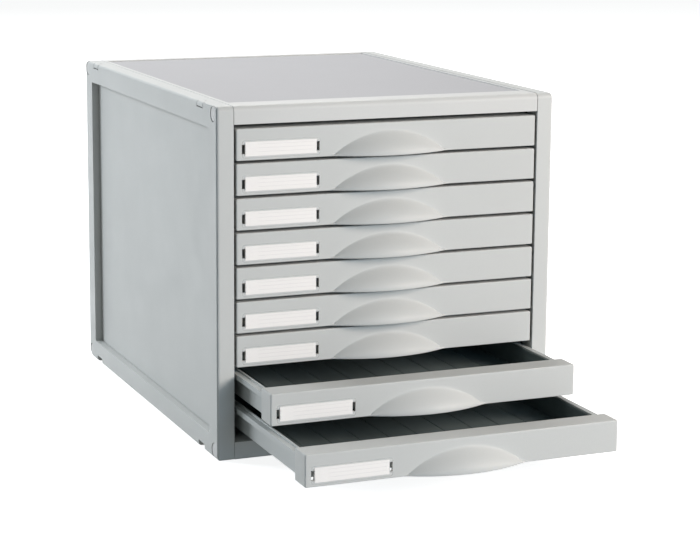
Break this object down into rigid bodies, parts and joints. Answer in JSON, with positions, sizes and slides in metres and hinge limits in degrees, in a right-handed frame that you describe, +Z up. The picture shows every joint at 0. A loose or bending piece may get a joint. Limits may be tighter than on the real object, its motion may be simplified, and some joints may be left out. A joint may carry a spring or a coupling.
{
  "type": "flat file cabinet",
  "caption": "Desktop cabinet of shallow sliding drawers for flat paper, with scooped finger grips, clear label holders and a panelled casing.",
  "frame": {"origin": "middle of the cabinet's footprint, on the surface it stands on", "axes": "+Z up, the drawers open towards -Y, +X to the right of someone facing the fronts"},
  "size_m": [0.29, 0.534, 0.2805],
  "materials": {
    "casing": "fine satin grain, light grey",
    "top_inlay": "fine matt texture, mid grey",
    "runner_racks": "smooth moulded",
    "tie_rods": "smooth moulded, light grey",
    "drawer_front": "fine satin grain, warm light grey",
    "drawer_tray": "smooth moulded, light grey",
    "drawer_liner": "matt, near black",
    "label_holder": "clear",
    "label_card": "uncoated white card"
  },
  "bodies": {
    "cabinet": {"side_wall_left": "casing", "side_wall_right": "casing", "runner_rack_left": "runner_racks", "runner_rack_right": "runner_racks", "runner_strips_left": "runner_racks", "runner_strips_right": "runner_racks", "top_panel": "casing", "top_inlay": "top_inlay", "bottom_panel": "casing", "back_panel": "casing", "tie_rod_front_top": "tie_rods", "tie_rod_front_bottom": "tie_rods", "tie_rod_back_top": "tie_rods", "tie_rod_back_bottom": "tie_rods"},
    "drawer_1": {"drawer_1_front": "drawer_front", "drawer_1_tray": "drawer_tray", "drawer_1_liner": "drawer_liner", "drawer_1_label_holder": "label_holder", "drawer_1_label_card": "label_card"},
    "drawer_2": {"drawer_2_front": "drawer_front", "drawer_2_tray": "drawer_tray", "drawer_2_liner": "drawer_liner", "drawer_2_label_holder": "label_holder", "drawer_2_label_card": "label_card"},
    "drawer_3": {"drawer_3_front": "drawer_front", "drawer_3_tray": "drawer_tray", "drawer_3_liner": "drawer_liner", "drawer_3_label_holder": "label_holder", "drawer_3_label_card": "label_card"},
    "drawer_4": {"drawer_4_front": "drawer_front", "drawer_4_tray": "drawer_tray", "drawer_4_liner": "drawer_liner", "drawer_4_label_holder": "label_holder", "drawer_4_label_card": "label_card"},
    "drawer_5": {"drawer_5_front": "drawer_front", "drawer_5_tray": "drawer_tray", "drawer_5_liner": "drawer_liner", "drawer_5_label_holder": "label_holder", "drawer_5_label_card": "label_card"},
    "drawer_6": {"drawer_6_front": "drawer_front", "drawer_6_tray": "drawer_tray", "drawer_6_liner": "drawer_liner", "drawer_6_label_holder": "label_holder", "drawer_6_label_card": "label_card"},
    "drawer_7": {"drawer_7_front": "drawer_front", "drawer_7_tray": "drawer_tray", "drawer_7_liner": "drawer_liner", "drawer_7_label_holder": "label_holder", "drawer_7_label_card": "label_card"},
    "drawer_8": {"drawer_8_front": "drawer_front", "drawer_8_tray": "drawer_tray", "drawer_8_liner": "drawer_liner", "drawer_8_label_holder": "label_holder", "drawer_8_label_card": "label_card"},
    "drawer_9": {"drawer_9_front": "drawer_front", "drawer_9_tray": "drawer_tray", "drawer_9_liner": "drawer_liner", "drawer_9_label_holder": "label_holder", "drawer_9_label_card": "label_card"}
  },
  "joints": [
    {"name": "drawer_1_slide", "type": "slide", "parent": "cabinet", "child": "drawer_1", "axis": [0, -1, 0], "range_m": [0, 0.27]},
    {"name": "drawer_2_slide", "type": "slide", "parent": "cabinet", "child": "drawer_2", "axis": [0, -1, 0], "range_m": [0, 0.27]},
    {"name": "drawer_3_slide", "type": "slide", "parent": "cabinet", "child": "drawer_3", "axis": [0, -1, 0], "range_m": [0, 0.27]},
    {"name": "drawer_4_slide", "type": "slide", "parent": "cabinet", "child": "drawer_4", "axis": [0, -1, 0], "range_m": [0, 0.27]},
    {"name": "drawer_5_slide", "type": "slide", "parent": "cabinet", "child": "drawer_5", "axis": [0, -1, 0], "range_m": [0, 0.27]},
    {"name": "drawer_6_slide", "type": "slide", "parent": "cabinet", "child": "drawer_6", "axis": [0, -1, 0], "range_m": [0, 0.27]},
    {"name": "drawer_7_slide", "type": "slide", "parent": "cabinet", "child": "drawer_7", "axis": [0, -1, 0], "range_m": [0, 0.27]},
    {"name": "drawer_8_slide", "type": "slide", "parent": "cabinet", "child": "drawer_8", "axis": [0, -1, 0], "range_m": [-0.0765, 0.1935]},
    {"name": "drawer_9_slide", "type": "slide", "parent": "cabinet", "child": "drawer_9", "axis": [0, -1, 0], "range_m": [-0.1475, 0.1225]}
  ]
}
